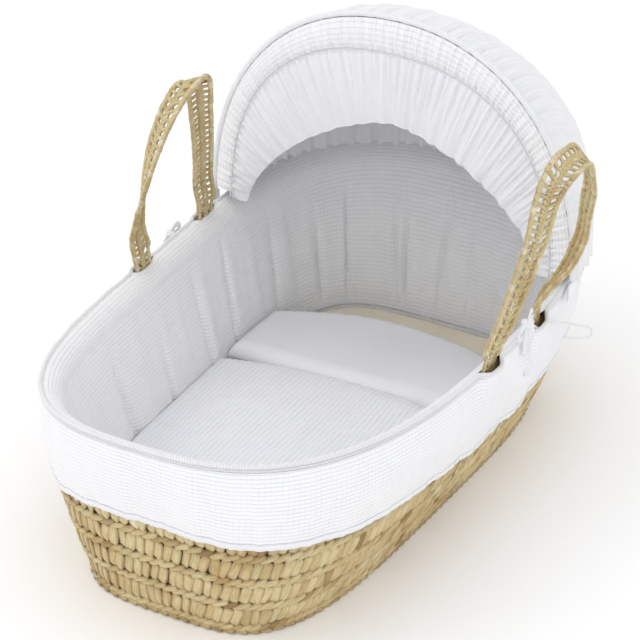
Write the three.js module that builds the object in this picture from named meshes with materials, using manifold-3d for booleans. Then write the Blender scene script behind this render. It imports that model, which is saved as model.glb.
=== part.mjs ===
// A palm moses basket with quilted dressing, bedding, two woven carrying handles and a folding hood.
// Millimetres, +Z up, +X towards the head end, +Y to the baby's left. The origin is the middle of the
// base's underside.
import * as THREE from 'three';
import { mergeVertices } from 'three/addons/utils/BufferGeometryUtils.js';
import Module from 'manifold-3d';

const wasm = await Module();
wasm.setup();

// Clearance between pieces that touch.
const GAP = 0.35;

// Plan outlines: superellipses with an egg taper that widens the head end.
const RIM = { length: 412, width: 233, power: 2.92, offset: 0 };
const BASE = { length: 350, width: 168, power: 4, offset: -4 };
const EGG = 0.087;
const SIDE_BULGE = 17;
const END_BULGE = 3;
const RIM_MIDDLE_HEIGHT = 230;
const RIM_END_RISE = 30;
const RING_STEPS = 40;

// The palm wall: wide wrapped courses with a narrow binding row on top of each.
const WALL_THICKNESS = 12;
const BASE_THICKNESS = 12;
const COURSES = 6;
const COURSE_SHARE = 0.69;
const RIM_COIL_HEIGHT = 14;

// The fabric dressing.
const LINER_THICKNESS = 3;
const LINER_GAP = 1.2;
const SKIRT_GAP = 4.4;
const SKIRT_THICKNESS = 2;
const SKIRT_DEPTH = 114;
const RIM_CAP_HEIGHT = 3.4;
const ELASTIC_SIZE = 1.2;
const NOTCH_DEPTH = 14;

// Bedding.
const MATTRESS_HEIGHT = 36;
const MATTRESS_CLEARANCE = 3;
const COVER_THICKNESS = 1.6;
const QUILT_HEAD_X = 245;
const QUILT_FOOT_X = -352;
const QUILT_SEAM_X = 92;
const QUILT = { thickness: 30, inset: 6, bow: 560 };
const TURNBACK = { thickness: 36, inset: 10, bow: 300 };
const MATTRESS_EASE = 5;
const COVERLET_EASE = 4;

// Carrying handles. Each route point is [along X, outward from the pivot, above the pivot, turn]. At a turn
// of 0 degrees the strap lies flat against the wall, and at 90 its face looks away from the loop's middle.
const HANDLE_PIVOT = { y: 248, z: 236 };
const RIGHT_LEAN = 14;
const LEFT_LEAN = -16;
const RIGHT_ROUTE = [[-28, 0, 8, 10], [-20, 5, 48, 18], [-3, 18, 110, 22], [2, 28, 153, 27],
  [0, 37, 200, 38], [5, 45, 228, 56], [20, 48, 238, 72], [46, 49, 239, 76], [72, 48, 232, 66],
  [99, 46, 200, 52], [118, 42, 174, 46], [132, 33, 133, 42], [137, 28, 96, 38], [126, 16, 56, 32],
  [103, 5, 31, 22], [91, 0, 8, 10]];
const LEFT_ROUTE = [[-16, 0, 8, 2], [-34, -13, 45, 8], [-46, -28, 98, 25], [-51, -41, 142, 40],
  [-48, -52, 182, 50], [-35, -62, 218, 56], [-10, -68, 241, 60], [12, -68, 243, 52],
  [31, -64, 229, 34], [60, -50, 176, 16], [88, -35, 123, 10], [112, -20, 71, 8],
  [133, -6, 22, 5], [138, 0, 8, 2]];
const STRAP_WIDTH = 36;
const STRAP_EDGE = 8;
const STRAP_GAP = 0.8;
const STRAP_THICKNESS = 5;
const HANDLE_STEPS = 34;
const ANCHOR_DEPTH = 150;
const ANCHOR_INSIDE = 0.6;
const ANCHOR_OUTSIDE = 2.2;

// The hood: nested covers that turn about an axis along Y, each a little smaller than the one before.
// The turn angles are degrees above the horizontal at the head end.
const HOOD = { x: 180, z: 250, halfWidth: 248, radius: 282, power: 2.14 };
const SHELL_STEP = 5;
const SHELL_THICKNESS = 2;
const ARCH_STEPS = 26;
const FRONT_TURN = [56, 89.5];
const MIDDLE_TURN = [30, 60];
const REAR_TURN = [12, 34];
const REAR_SHRINK = 20;
const HEM = { gap: 2.6, thickness: 2.4, below: 24, above: 12, reach: 55, steps: 20 };
const POCKET = { size: 22, thickness: 3, drop: 19 };
const ARCH_START = 7;
const WIRE_RADIUS = 2.7;
const BAND_ARCH = { halfWidth: 234, radius: 266, power: 2.2 };
const SEAM_ARCH = { halfWidth: 223, radius: 240, power: 2.3 };
const FRILL_ARCH = { halfWidth: 205, radius: 146, power: 1.5 };

// Cotton ties that fasten the hood's ends beside the rear feet of the handles.
const TIE_SIZE = 3.4;
const KNOT_SIZE = 13;
const RIGHT_TIE = {
  knot: [60, -240, 244],
  tails: {
    tail_long: [[62, -246.5, 242], [64, -249, 234], [64, -248, 218], [66, -247.5, 200], [69, -247, 184],
      [67, -246.5, 168]],
    tail_short: [[56, -246.5, 242], [52, -248.5, 234], [51, -248, 220], [53, -247.5, 203]],
    loop: [[67, -245, 241], [74, -248.5, 233], [86, -249, 224], [108, -249, 217], [134, -249, 208],
      [156, -251, 198], [174, -264, 189], [184, -278, 183], [178, -281, 177], [166, -270, 176],
      [152, -256, 181]],
  },
};
const LEFT_TIE = {
  knot: [75, 251, 226],
  tails: {
    tail_long: [[77, 251, 219], [79, 251, 207], [78, 251, 192], [81, 250, 176], [79, 250, 163]],
    tail_short: [[71, 251, 219], [67, 251, 209], [66, 251, 198], [68, 251, 186]],
  },
};

const STRAW = { color: 0xc9b079, roughness: 0.75, metalness: 0 };
const STRAW_DARK = { color: 0xb59a62, roughness: 0.8, metalness: 0 };
const WHITE = { color: 0xf1f2f4, roughness: 0.9, metalness: 0 };
const COTTON = { color: 0xfafafc, roughness: 0.85, metalness: 0 };
const CREAM = { color: 0xe9dfc4, roughness: 0.9, metalness: 0 };
const STEEL = { color: 0xb8bcc0, roughness: 0.35, metalness: 1 };

const basket = new THREE.Group();

function addPiece(name, geometry, look) {
  const mesh = new THREE.Mesh(geometry, new THREE.MeshStandardMaterial(look));
  mesh.name = name;
  basket.add(mesh);
  return mesh;
}

// ---------------------------------------------------------------- mesh building

function signedVolume(points, faces) {
  let sum = 0;
  for (const [a, b, c] of faces) {
    const cross = new THREE.Vector3().crossVectors(points[b], points[c]);
    sum += points[a].dot(cross);
  }
  return sum;
}

function closedMesh(points, faces) {
  const outward = signedVolume(points, faces) > 0;
  const index = faces.flatMap(([a, b, c]) => (outward ? [a, b, c] : [a, c, b]));
  const geometry = new THREE.BufferGeometry();
  const position = points.flatMap((p) => [p.x, p.y, p.z]);
  geometry.setAttribute('position', new THREE.Float32BufferAttribute(position, 3));
  geometry.setIndex(index);
  geometry.computeVertexNormals();
  return geometry;
}

// Skins a solid over rows of points. Each row is one closed section. A ring joins its last row to its
// first, and an open solid gets a flat cap at each end, given as triangles of one section.
function skin(rows, { ring = false, cap = null } = {}) {
  const count = rows[0].length;
  const faces = [];
  const spans = ring ? rows.length : rows.length - 1;
  for (let row = 0; row < spans; row += 1) {
    const here = row * count;
    const next = ((row + 1) % rows.length) * count;
    for (let i = 0; i < count; i += 1) {
      const j = (i + 1) % count;
      faces.push([here + i, here + j, next + j], [here + i, next + j, next + i]);
    }
  }
  if (!ring) {
    const last = (rows.length - 1) * count;
    for (const [a, b, c] of cap ?? fanCap(count)) {
      faces.push([a, c, b], [last + a, last + b, last + c]);
    }
  }
  return closedMesh(rows.flat(), faces);
}

function fanCap(count) {
  return Array.from({ length: count - 2 }, (_, i) => [0, i + 1, i + 2]);
}

// The end cap of a thin shell whose section runs out along one face and back along the other.
function stripCap(count) {
  const half = count / 2;
  const faces = [];
  for (let i = 0; i < half - 1; i += 1) {
    const far = count - 1 - i;
    faces.push([i, i + 1, far - 1], [i, far - 1, far]);
  }
  return faces;
}

function toSolid(geometry) {
  const bare = geometry.clone();
  bare.deleteAttribute('normal');
  bare.deleteAttribute('uv');
  const merged = mergeVertices(bare, 1e-4);
  const mesh = new wasm.Mesh({
    numProp: 3,
    vertProperties: new Float32Array(merged.attributes.position.array),
    triVerts: new Uint32Array(merged.index.array),
  });
  return new wasm.Manifold(mesh);
}

function fromSolid(solid) {
  const mesh = solid.getMesh();
  const geometry = new THREE.BufferGeometry();
  geometry.setAttribute('position', new THREE.BufferAttribute(new Float32Array(mesh.vertProperties), 3));
  geometry.setIndex(new THREE.BufferAttribute(new Uint32Array(mesh.triVerts), 1));
  geometry.computeVertexNormals();
  return geometry;
}

function cut(geometry, tools) {
  return fromSolid(tools.reduce((solid, tool) => solid.subtract(toSolid(tool)), toSolid(geometry)));
}

function range(count) {
  return Array.from({ length: count }, (_, i) => i);
}

const { lerp, degToRad } = THREE.MathUtils;

// ---------------------------------------------------------------- basket shape

// A point on a superellipse outline and its outward direction in plan.
function outlinePoint(outline, angle) {
  const c = Math.cos(angle);
  const s = Math.sin(angle);
  const scale = (Math.abs(c) ** outline.power + Math.abs(s) ** outline.power) ** (-1 / outline.power);
  const u = c * scale;
  const v = s * scale;
  const normal = new THREE.Vector2(
    Math.sign(u) * Math.abs(u) ** (outline.power - 1) / outline.length,
    Math.sign(v) * Math.abs(v) ** (outline.power - 1) / outline.width,
  ).normalize();
  return { x: outline.offset + outline.length * u, y: outline.width * v * (1 + EGG * u), normal };
}

function rimHeight(x) {
  return RIM_MIDDLE_HEIGHT + RIM_END_RISE * (x / RIM.length) ** 2;
}

// A point at an angle round the wall: `height(rimZ)` gives its height, and `offset` moves it outward.
function wallPoint(angle, height, offset) {
  const foot = outlinePoint(BASE, angle);
  const top = outlinePoint(RIM, angle);
  const rimZ = rimHeight(top.x);
  const z = height(rimZ);
  const share = z / rimZ;
  const normal = foot.normal.clone().lerp(top.normal, share).normalize();
  const bulge = lerp(END_BULGE, SIDE_BULGE, Math.abs(normal.y));
  const out = offset + bulge * 4 * share * (1 - share);
  return new THREE.Vector3(
    lerp(foot.x, top.x, share) + normal.x * out,
    lerp(foot.y, top.y, share) + normal.y * out,
    z,
  );
}

// A closed ring on the wall. Each corner of its section is [offset, height function].
function wallRing(section) {
  const rows = range(RING_STEPS).map((i) => {
    const angle = (2 * Math.PI * i) / RING_STEPS;
    return section.map(([offset, height]) => wallPoint(angle, height, offset));
  });
  return skin(rows, { ring: true });
}

// Height of a share of the palm wall between the base panel and the rim coil.
function wallLevel(share, gap = 0) {
  return (rimZ) => lerp(BASE_THICKNESS, rimZ - RIM_COIL_HEIGHT, share) + gap;
}

function belowRim(depth) {
  return (rimZ) => rimZ - depth;
}

function basePlate() {
  const shape = new THREE.Shape(range(RING_STEPS).map((i) => {
    const { x, y } = outlinePoint(BASE, (2 * Math.PI * i) / RING_STEPS);
    return new THREE.Vector2(x, y);
  }));
  return mergeBare(new THREE.ExtrudeGeometry(shape, { depth: BASE_THICKNESS - GAP, bevelEnabled: false }));
}

function mergeBare(geometry) {
  geometry.deleteAttribute('normal');
  geometry.deleteAttribute('uv');
  const merged = mergeVertices(geometry, 1e-3);
  merged.computeVertexNormals();
  return merged;
}

function addPalmBasket() {
  addPiece('base_panel', basePlate(), STRAW_DARK);
  for (const course of range(COURSES)) {
    const low = course / COURSES;
    const middle = (course + COURSE_SHARE) / COURSES;
    const high = (course + 1) / COURSES;
    const bulgeLow = lerp(low, middle, 0.25);
    const bulgeHigh = lerp(low, middle, 0.75);
    addPiece(`wall_course_${course + 1}`, wallRing([
      [-WALL_THICKNESS, wallLevel(low)], [-2, wallLevel(low)], [0, wallLevel(bulgeLow)],
      [0, wallLevel(bulgeHigh)], [-2, wallLevel(middle)], [-WALL_THICKNESS, wallLevel(middle)],
    ]), STRAW);
    addPiece(`wall_binding_${course + 1}`, wallRing([
      [1 - WALL_THICKNESS, wallLevel(middle, GAP)], [-1.5, wallLevel(middle, GAP)],
      [-1.5, wallLevel(high, -GAP)], [1 - WALL_THICKNESS, wallLevel(high, -GAP)],
    ]), STRAW_DARK);
  }
  addPiece('rim_coil', wallRing([
    [-WALL_THICKNESS, belowRim(RIM_COIL_HEIGHT)], [-1, belowRim(RIM_COIL_HEIGHT)],
    [0, belowRim(RIM_COIL_HEIGHT / 2)], [-3, belowRim(0)], [3 - WALL_THICKNESS, belowRim(0)],
    [-WALL_THICKNESS, belowRim(3)],
  ]), STRAW);
}

// ---------------------------------------------------------------- dressing

const LINER_FOOT = BASE_THICKNESS + 4;
const SKIRT_OUTSIDE = SKIRT_GAP + SKIRT_THICKNESS;
const LINER_OUTSIDE = -WALL_THICKNESS - LINER_GAP;
const LINER_INSIDE = LINER_OUTSIDE - LINER_THICKNESS;

// Levels of a panel between two heights, for a section that follows the wall's curve.
function panelSection(inside, outside, low, high, levels) {
  const at = (share) => (rimZ) => lerp(low(rimZ), high(rimZ), share);
  const shares = range(levels + 1).map((i) => i / levels);
  const up = shares.map((share) => [outside, at(share)]);
  const down = shares.map((share) => [inside, at(share)]).reverse();
  return [...up, ...down];
}

// The notch in the dressing's outer edge that a handle's strap comes up through.
function handleNotch({ x, side }) {
  const notch = new THREE.BoxGeometry(STRAP_WIDTH + 4, SKIRT_OUTSIDE + 6, 2 * NOTCH_DEPTH);
  const wall = outlinePoint(RIM, angleForX(x, side)).y;
  return notch.translate(x, wall + side * (SKIRT_OUTSIDE / 2 + 3.5), rimHeight(x));
}

function handleFeet() {
  return [
    { name: 'right_front', x: RIGHT_ROUTE[0][0], side: -1 },
    { name: 'right_rear', x: RIGHT_ROUTE.at(-1)[0], side: -1 },
    { name: 'left_front', x: LEFT_ROUTE[0][0], side: 1 },
    { name: 'left_rear', x: LEFT_ROUTE.at(-1)[0], side: 1 },
  ];
}

function addDressing() {
  addPiece('dressing_liner', wallRing(panelSection(
    LINER_INSIDE, LINER_OUTSIDE, () => LINER_FOOT, belowRim(GAP), 5)), WHITE);
  const notches = handleFeet().map(handleNotch);
  const skirt = wallRing(panelSection(
    SKIRT_GAP, SKIRT_OUTSIDE, belowRim(SKIRT_DEPTH), belowRim(GAP), 3));
  addPiece('dressing_skirt', cut(skirt, notches), WHITE);
  addPiece('skirt_elastic', wallRing([
    [SKIRT_GAP - GAP - ELASTIC_SIZE, belowRim(SKIRT_DEPTH)], [SKIRT_GAP - GAP, belowRim(SKIRT_DEPTH)],
    [SKIRT_GAP - GAP, belowRim(SKIRT_DEPTH - ELASTIC_SIZE)],
    [SKIRT_GAP - GAP - ELASTIC_SIZE, belowRim(SKIRT_DEPTH - ELASTIC_SIZE)],
  ]), COTTON);
  const cap = wallRing([
    [LINER_INSIDE, belowRim(-GAP)], [SKIRT_OUTSIDE, belowRim(-GAP)],
    [SKIRT_OUTSIDE, belowRim(-1.6)], [SKIRT_OUTSIDE - 3, belowRim(-RIM_CAP_HEIGHT)],
    [LINER_INSIDE + 3, belowRim(-RIM_CAP_HEIGHT)], [LINER_INSIDE, belowRim(-1.6)],
  ]);
  addPiece('dressing_rim_cap', cut(cap, notches), WHITE);
}

// A woven strap end laced down the outside of the wall, below each foot of a handle.
function addStrapAnchor({ name, x, side }) {
  const levels = range(7).map((i) => lerp(1, ANCHOR_DEPTH, i / 6));
  const rows = levels.map((depth) => {
    const corners = [[-1, ANCHOR_INSIDE], [1, ANCHOR_INSIDE], [1, ANCHOR_OUTSIDE], [-1, ANCHOR_OUTSIDE]];
    return corners.map(([end, offset]) => {
      const angle = angleForX(x + end * (STRAP_WIDTH / 2 - 1), side);
      return wallPoint(angle, belowRim(depth), offset);
    });
  });
  addPiece(`strap_anchor_${name}`, skin(rows), STRAW_DARK);
}

// The wall angle whose rim point lies at a distance along X, on one side.
function angleForX(x, side) {
  let low = 0;
  let high = Math.PI;
  for (let i = 0; i < 40; i += 1) {
    const middle = (low + high) / 2;
    if (outlinePoint(RIM, middle).x > x) {
      low = middle;
    } else {
      high = middle;
    }
  }
  return side * low;
}

// ---------------------------------------------------------------- bedding

// A soft block that fills the basket's plan between two heights, kept inside the liner by `inset`. Its
// corners are eased by `ease` at the top and the bottom.
function beddingBlock(low, high, inset, ease) {
  const levels = [[low, ease], [low + ease, 0], [high - ease, 0], [high, ease]];
  const rows = levels.map(([z, pull]) => range(RING_STEPS).map(
    (i) => wallPoint((2 * Math.PI * i) / RING_STEPS, () => z, LINER_INSIDE - inset - pull)));
  return skin(rows);
}

function addMattress() {
  const low = BASE_THICKNESS;
  const high = low + MATTRESS_HEIGHT;
  const ease = MATTRESS_EASE;
  const inside = MATTRESS_CLEARANCE + COVER_THICKNESS;
  addPiece('mattress_foam', beddingBlock(low, high - COVER_THICKNESS - GAP, inside + 3 * GAP, ease),
    CREAM);
  const hollow = beddingBlock(low - 2 * ease, high - COVER_THICKNESS, inside, ease);
  addPiece('mattress_cover', cut(beddingBlock(low, high, MATTRESS_CLEARANCE, ease), [hollow]), CREAM);
}

// A layer of the coverlet: it runs from `fromX` to a head edge that bows towards the head.
function coverletLayer(fromX, toX, { thickness, inset, bow }) {
  const low = BASE_THICKNESS + MATTRESS_HEIGHT + GAP;
  const tall = 200;
  const wide = 900;
  const layer = toSolid(beddingBlock(low, low + thickness, inset, COVERLET_EASE));
  const disc = new THREE.CylinderGeometry(bow, bow, tall, 64).rotateX(Math.PI / 2);
  const head = toSolid(disc.translate(toX - bow, 0, low));
  const foot = toSolid(new THREE.BoxGeometry(wide, wide, tall).translate(fromX - wide / 2, 0, low));
  return fromSolid(layer.intersect(head).subtract(foot));
}

function addCoverlet() {
  addPiece('coverlet_quilt', coverletLayer(QUILT_FOOT_X, QUILT_SEAM_X, QUILT), WHITE);
  addPiece('coverlet_turnback', coverletLayer(QUILT_SEAM_X + GAP, QUILT_HEAD_X, TURNBACK), COTTON);
}

// ---------------------------------------------------------------- handles

// The turn at a share of a route's length.
function turnAt(route, points, share) {
  const lengths = [0];
  for (let i = 1; i < points.length; i += 1) {
    lengths.push(lengths[i - 1] + points[i].distanceTo(points[i - 1]));
  }
  const want = share * lengths.at(-1);
  const i = Math.min(points.length - 1, Math.max(1, lengths.findIndex((length) => length >= want)));
  const part = (want - lengths[i - 1]) / (lengths[i] - lengths[i - 1]);
  return degToRad(lerp(route[i - 1][3], route[i][3], part));
}

// A strip swept along a handle's route. `across` is [from, to] across the strap and `deep` its thickness.
function handleStrip(route, side, lean, across, deep) {
  const points = route.map(([x, out, up]) => new THREE.Vector3(
    x, side * (HANDLE_PIVOT.y + out), HANDLE_PIVOT.z + up));
  const curve = new THREE.CatmullRomCurve3(points, false, 'centripetal');
  const face = new THREE.Vector3(0, side * Math.cos(degToRad(lean)), -Math.sin(degToRad(lean)));
  const rows = range(HANDLE_STEPS + 1).map((i) => {
    const share = i / HANDLE_STEPS;
    const at = curve.getPointAt(share);
    const along = curve.getTangentAt(share);
    const turn = turnAt(route, points, share);
    const away = new THREE.Vector3().crossVectors(face, along).normalize().multiplyScalar(-side);
    const normal = face.clone().multiplyScalar(Math.cos(turn)).addScaledVector(away, Math.sin(turn));
    const wide = new THREE.Vector3().crossVectors(normal, along).normalize();
    const thick = new THREE.Vector3().crossVectors(along, wide);
    const corner = (w, t) => at.clone().addScaledVector(wide, -side * w)
      .addScaledVector(thick, (t * deep) / 2);
    return [corner(across[0], -1), corner(across[1], -1), corner(across[1], 1), corner(across[0], 1)];
  });
  return skin(rows);
}

function addHandle(name, route, side, lean) {
  const half = STRAP_WIDTH / 2;
  const strips = {
    outer_edge: { across: [half - STRAP_EDGE, half], deep: STRAP_THICKNESS + 2 },
    lattice: {
      across: [STRAP_EDGE + STRAP_GAP - half, half - STRAP_EDGE - STRAP_GAP],
      deep: STRAP_THICKNESS - 1,
    },
    inner_edge: { across: [-half, STRAP_EDGE - half], deep: STRAP_THICKNESS + 2 },
  };
  for (const [part, { across, deep }] of Object.entries(strips)) {
    addPiece(`handle_${name}_${part}`, handleStrip(route, side, lean, across, deep), STRAW);
  }
}

// ---------------------------------------------------------------- hood

// A point on the hood: `arch` is its half outline, `around` goes from one side to the other, and
// `turn` is the angle of its plane above the horizontal at the head end.
function hoodPoint(arch, around, turn) {
  const c = Math.cos(around);
  const s = Math.sin(around);
  const scale = (Math.abs(c) ** arch.power + Math.abs(s) ** arch.power) ** (-1 / arch.power);
  const radius = arch.radius * s * scale;
  return new THREE.Vector3(
    HOOD.x + radius * Math.cos(turn),
    arch.halfWidth * c * scale,
    HOOD.z + radius * Math.sin(turn),
  );
}

function archAngles(start = ARCH_START) {
  return range(ARCH_STEPS + 1).map((i) => degToRad(lerp(start, 180 - start, i / ARCH_STEPS)));
}

function insetArch(arch, inset) {
  return { ...arch, halfWidth: arch.halfWidth - inset, radius: arch.radius - inset };
}

// A cover between two turn angles. Its radius is pulled in by `shrink` at the low end.
function hoodCover(arch, [fromTurn, toTurn], shrink) {
  const steps = 5;
  const rows = archAngles().map((around) => {
    const line = (inset) => range(steps + 1).map((i) => {
      const share = i / steps;
      const bent = insetArch(arch, inset);
      bent.radius -= shrink * (1 - share);
      return hoodPoint(bent, around, degToRad(lerp(fromTurn, toTurn, share)));
    });
    return [...line(0), ...line(SHELL_THICKNESS).reverse()];
  });
  return skin(rows, { cap: stripCap(rows[0].length) });
}

// A flat arched band in the hood's front plane, between two arches.
function frontBand(outer, inner, fromX, toX, start) {
  const rows = archAngles(start).map((around) => {
    const o = hoodPoint(outer, around, Math.PI / 2);
    const i = hoodPoint(inner, around, Math.PI / 2);
    return [[o, fromX], [o, toX], [i, toX], [i, fromX]].map(
      ([p, x]) => new THREE.Vector3(HOOD.x + x, p.y, p.z));
  });
  return skin(rows);
}

function hoodWire(arch) {
  const sides = 6;
  const angles = archAngles(2);
  const points = angles.map((around) => hoodPoint(arch, around, Math.PI / 2));
  const curve = new THREE.CatmullRomCurve3(points, false, 'centripetal');
  const rows = angles.map((_, i) => {
    const share = i / (angles.length - 1);
    const at = curve.getPointAt(share);
    const along = curve.getTangentAt(share);
    const out = new THREE.Vector3(0, along.z, -along.y);
    return range(sides).map((k) => {
      const turn = (2 * Math.PI * k) / sides;
      return at.clone().addScaledVector(out, WIRE_RADIUS * Math.cos(turn))
        .add(new THREE.Vector3(WIRE_RADIUS * Math.sin(turn), 0, 0));
    });
  });
  return skin(rows);
}

function addHood() {
  const middle = insetArch(HOOD, SHELL_STEP);
  const rear = insetArch(HOOD, 2 * SHELL_STEP);
  addPiece('hood_wire', hoodWire(insetArch(HOOD, -WIRE_RADIUS - GAP)), STEEL);
  addPiece('hood_front_cover', hoodCover(HOOD, FRONT_TURN, 0), WHITE);
  addPiece('hood_middle_cover', hoodCover(middle, MIDDLE_TURN, 0), WHITE);
  addPiece('hood_rear_cover', hoodCover(rear, REAR_TURN, REAR_SHRINK), WHITE);
  addPiece('hood_band', frontBand(BAND_ARCH, SEAM_ARCH, -2, 2, 4), WHITE);
  addPiece('hood_frill', frontBand(insetArch(SEAM_ARCH, 1), FRILL_ARCH, -1.5, 1.5, 4), COTTON);
}

// The gathered hem of the hood, held round the outside of the head end by elastic.
function addHoodHem() {
  const inside = SKIRT_OUTSIDE + HEM.gap;
  const outside = inside + HEM.thickness;
  const rows = range(HEM.steps + 1).map((i) => {
    const angle = degToRad(lerp(-HEM.reach, HEM.reach, i / HEM.steps));
    return [[inside, HEM.below], [outside, HEM.below], [outside, -HEM.above], [inside, -HEM.above]]
      .map(([offset, depth]) => wallPoint(angle, belowRim(depth), offset));
  });
  addPiece('hood_hem', skin(rows), WHITE);
  for (const [name, side] of [['left', 1], ['right', -1]]) {
    const pocket = new THREE.BoxGeometry(POCKET.size, POCKET.thickness, POCKET.size);
    const y = side * (HOOD.halfWidth + POCKET.thickness);
    addPiece(`hood_pocket_${name}`, pocket.translate(HOOD.x, y, HOOD.z - POCKET.drop), COTTON);
  }
}

// ---------------------------------------------------------------- ties

function tieTail(route) {
  const sides = 8;
  const curve = new THREE.CatmullRomCurve3(route.map((p) => new THREE.Vector3(...p)));
  const steps = Math.max(4, Math.round(curve.getLength() / (2.4 * TIE_SIZE)));
  const section = new THREE.Shape(range(sides).map((k) => {
    const turn = (2 * Math.PI * k) / sides;
    return new THREE.Vector2(Math.cos(turn), Math.sin(turn)).multiplyScalar(TIE_SIZE / 2);
  }));
  return mergeBare(new THREE.ExtrudeGeometry(section, { steps, extrudePath: curve }));
}

function addTie(side, { knot, tails }) {
  const ball = mergeBare(new THREE.SphereGeometry(KNOT_SIZE / 2, 8, 6));
  ball.scale(1, 0.45, 0.9).translate(...knot);
  addPiece(`tie_${side}_knot`, ball, COTTON);
  for (const [name, route] of Object.entries(tails)) {
    addPiece(`tie_${side}_${name}`, tieTail(route), COTTON);
  }
}

addPalmBasket();
addDressing();
handleFeet().forEach(addStrapAnchor);
addMattress();
addCoverlet();
addHandle('right', RIGHT_ROUTE, -1, RIGHT_LEAN);
addHandle('left', LEFT_ROUTE, 1, LEFT_LEAN);
addHood();
addHoodHem();
addTie('right', RIGHT_TIE);
addTie('left', LEFT_TIE);

export default basket;
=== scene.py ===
"""A palm moses basket: woven wall and handles, waffle dressing, bedding and a gathered folding hood.

Everything is in metres in the CAD frame: +X to the head end, +Y to the left, +Z up.
"""
import math

import bpy
import numpy as np
from mathutils import Matrix, Vector


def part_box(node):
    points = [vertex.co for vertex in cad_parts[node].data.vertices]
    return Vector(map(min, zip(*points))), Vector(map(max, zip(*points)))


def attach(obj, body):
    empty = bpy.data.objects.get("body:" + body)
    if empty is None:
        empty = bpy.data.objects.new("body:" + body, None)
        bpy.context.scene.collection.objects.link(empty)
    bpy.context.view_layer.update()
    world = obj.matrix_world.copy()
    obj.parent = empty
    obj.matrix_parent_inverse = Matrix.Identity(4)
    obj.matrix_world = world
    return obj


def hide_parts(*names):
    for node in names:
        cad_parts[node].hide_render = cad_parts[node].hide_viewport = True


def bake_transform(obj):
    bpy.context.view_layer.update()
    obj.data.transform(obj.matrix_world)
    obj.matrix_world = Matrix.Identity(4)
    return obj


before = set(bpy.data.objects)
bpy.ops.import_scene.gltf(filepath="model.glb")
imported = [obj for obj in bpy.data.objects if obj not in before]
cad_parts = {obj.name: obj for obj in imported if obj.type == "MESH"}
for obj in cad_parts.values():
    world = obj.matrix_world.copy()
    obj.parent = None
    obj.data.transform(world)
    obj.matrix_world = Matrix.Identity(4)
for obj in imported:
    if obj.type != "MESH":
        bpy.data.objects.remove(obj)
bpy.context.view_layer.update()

MM = 0.001

# ------------------------------------------------------------------ driving sizes, as in the CAD

RIM = dict(length=0.412, width=0.233, power=2.92, offset=0.0)
BASE = dict(length=0.350, width=0.168, power=4.0, offset=-0.004)
EGG = 0.087
SIDE_BULGE = 0.017
END_BULGE = 0.003
RIM_MIDDLE = 0.230
RIM_RISE = 0.030
BASE_TOP = 0.012
RIM_COIL = 0.014
COURSES = 6
COURSE_SHARE = 0.69
LINER_INSIDE = -0.0162
LINER_TURN_OVER = 0.026
SKIRT_DEPTH = 0.114
SKIRT_SLACK = 0.011
HEM_HEIGHT = 0.0105
MATTRESS_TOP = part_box("mattress_cover")[1][2]
HOOD_PIVOT = (0.180, 0.250)
ARCH_POWER = 2.14
HANDLE_PIVOT = (0.248, 0.236)
STRAP_HALF = 0.018

# Where a strap comes out, the cloth stands off the wall and its top edge dips.
SLOT_HALF = 0.0225
SLOT_STAND_OFF = 0.0092
SLOT_DIP = 0.005
LINER_DIP = 0.0042

# Each handle point is (along X, outward from the pivot, above the pivot, turn of the strap's face), in mm
# and degrees.
RIGHT_ROUTE = [(-28, 0, 8, 10), (-20, 5, 48, 18), (-3, 18, 110, 22), (2, 28, 153, 27), (0, 37, 200, 38),
               (5, 45, 228, 56), (20, 48, 238, 72), (46, 49, 239, 76), (72, 48, 232, 66),
               (99, 46, 200, 52), (118, 42, 174, 46), (132, 33, 133, 42), (137, 28, 96, 38),
               (126, 16, 56, 32), (103, 5, 31, 22), (91, 0, 8, 10)]
LEFT_ROUTE = [(-16, 0, 8, 2), (-34, -13, 45, 8), (-46, -28, 98, 25), (-51, -41, 142, 40),
              (-48, -52, 182, 50), (-35, -62, 218, 56), (-10, -68, 241, 60), (12, -68, 243, 52),
              (31, -64, 229, 34), (60, -50, 176, 16), (88, -35, 123, 10), (112, -20, 71, 8),
              (133, -6, 22, 5), (138, 0, 8, 2)]


# ------------------------------------------------------------------ camera, light and floor

def add_camera():
    data = bpy.data.cameras.new("camera")
    camera = bpy.data.objects.new("camera", data)
    bpy.context.collection.objects.link(camera)
    yaw, pitch, roll = 0.48959, 0.51130, 0.01205
    forward = Vector((math.cos(pitch) * math.cos(yaw), math.cos(pitch) * math.sin(yaw), -math.sin(pitch)))
    side = Vector((math.sin(yaw), -math.cos(yaw), 0))
    up = side.cross(forward)
    right = side * math.cos(roll) + up * math.sin(roll)
    top = up * math.cos(roll) - side * math.sin(roll)
    turn = Matrix((right, top, -forward)).transposed().to_4x4()
    camera.matrix_world = Matrix.Translation((-2.3055, -1.2298, 1.6744)) @ turn
    data.lens = 139.9
    data.clip_end = 50
    bpy.context.scene.camera = camera


def add_light(name, place, target, size, power, color):
    data = bpy.data.lights.new(name, "AREA")
    data.energy = power
    data.size = size
    data.color = color
    light = bpy.data.objects.new(name, data)
    bpy.context.collection.objects.link(light)
    aim = Vector(target) - Vector(place)
    light.location = place
    light.rotation_euler = aim.to_track_quat("-Z", "Y").to_euler()


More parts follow.
